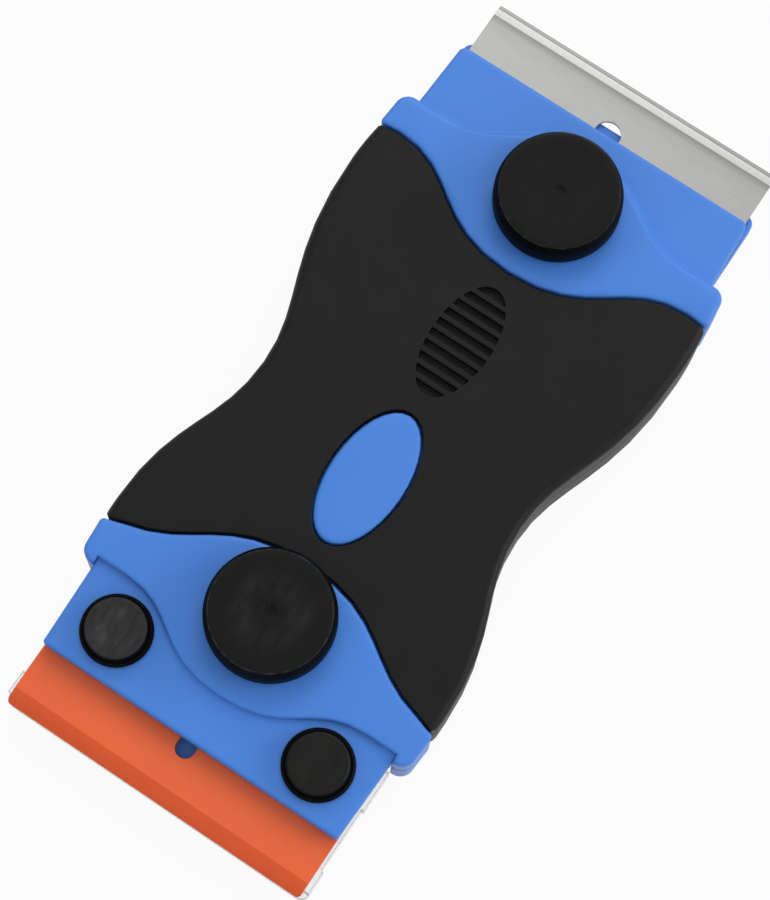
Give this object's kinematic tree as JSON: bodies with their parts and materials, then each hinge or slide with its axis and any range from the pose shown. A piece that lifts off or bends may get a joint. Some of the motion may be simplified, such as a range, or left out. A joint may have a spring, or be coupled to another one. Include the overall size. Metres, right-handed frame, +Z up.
{
  "type": "hob scraper",
  "caption": "Two-ended hob scraper: hourglass handle with a steel blade at one end and a plastic blade at the other, each clamped by a thumb knob.",
  "frame": {"origin": "under the middle of the tool's length and width, on the surface it lies on", "axes": "+X across the blades, +Y along the tool towards the steel blade, +Z up out of the side with the knobs"},
  "size_m": [0.046, 0.1016, 0.0134],
  "materials": {
    "blue_plastic": "fine satin moulding, hard plastic",
    "soft_black": "matt soft-touch moulding",
    "knob_black": "fine matt moulding",
    "orange_plastic": "satin moulding, bevel cut by a tool",
    "blade_steel": "fine grinding marks along the edge, bright ground bevel",
    "hardware_steel": "zinc plated",
    "clear_plastic": "clear moulding"
  },
  "bodies": {
    "holder": {"upper_housing": "blue_plastic", "lower_housing": "blue_plastic", "upper_grip": "soft_black", "lower_grip": "soft_black", "left_cap": "knob_black", "right_cap": "knob_black", "left_locating_pin": "hardware_steel", "right_locating_pin": "hardware_steel", "metal_end_washer": "hardware_steel", "plastic_end_washer": "hardware_steel", "housing_screw_front_left": "hardware_steel", "housing_screw_front_right": "hardware_steel", "housing_screw_rear_left": "hardware_steel", "housing_screw_rear_right": "hardware_steel"},
    "metal_knob": {"metal_end_knob": "knob_black", "metal_end_stud": "hardware_steel"},
    "metal_clamp": {"metal_end_clamp_plate": "blue_plastic", "metal_end_nut": "hardware_steel"},
    "metal_blade": {"metal_blade": "blade_steel"},
    "plastic_knob": {"plastic_end_knob": "knob_black", "plastic_end_stud": "hardware_steel"},
    "plastic_clamp": {"plastic_end_clamp_plate": "blue_plastic", "plastic_end_nut": "hardware_steel"},
    "plastic_blade": {"plastic_blade": "orange_plastic"},
    "guard": {"blade_guard": "clear_plastic"}
  },
  "joints": [
    {"name": "metal_knob_turn", "type": "hinge", "parent": "holder", "child": "metal_knob", "pos_m": [0, 0.03235, 0.0096], "axis": [0, 0, 1], "range_deg": [0, 480]},
    {"name": "metal_clamp_drop", "type": "slide", "parent": "holder", "child": "metal_clamp", "axis": [0, 0, -1], "range_m": [0, 0.0006]},
    {"name": "metal_blade_slide", "type": "slide", "parent": "holder", "child": "metal_blade", "axis": [0, -1, 0], "range_m": [0, 0.0075]},
    {"name": "plastic_knob_turn", "type": "hinge", "parent": "holder", "child": "plastic_knob", "pos_m": [0, -0.02695, 0.0096], "axis": [0, 0, 1], "range_deg": [0, 480]},
    {"name": "plastic_clamp_drop", "type": "slide", "parent": "holder", "child": "plastic_clamp", "axis": [0, 0, -1], "range_m": [0, 0.0006]},
    {"name": "plastic_blade_slide", "type": "slide", "parent": "holder", "child": "plastic_blade", "axis": [0, -1, 0], "range_m": [0, 0.012]},
    {"name": "guard_slide", "type": "slide", "parent": "plastic_clamp", "child": "guard", "axis": [0, -1, 0], "range_m": [0, 0.015]}
  ]
}
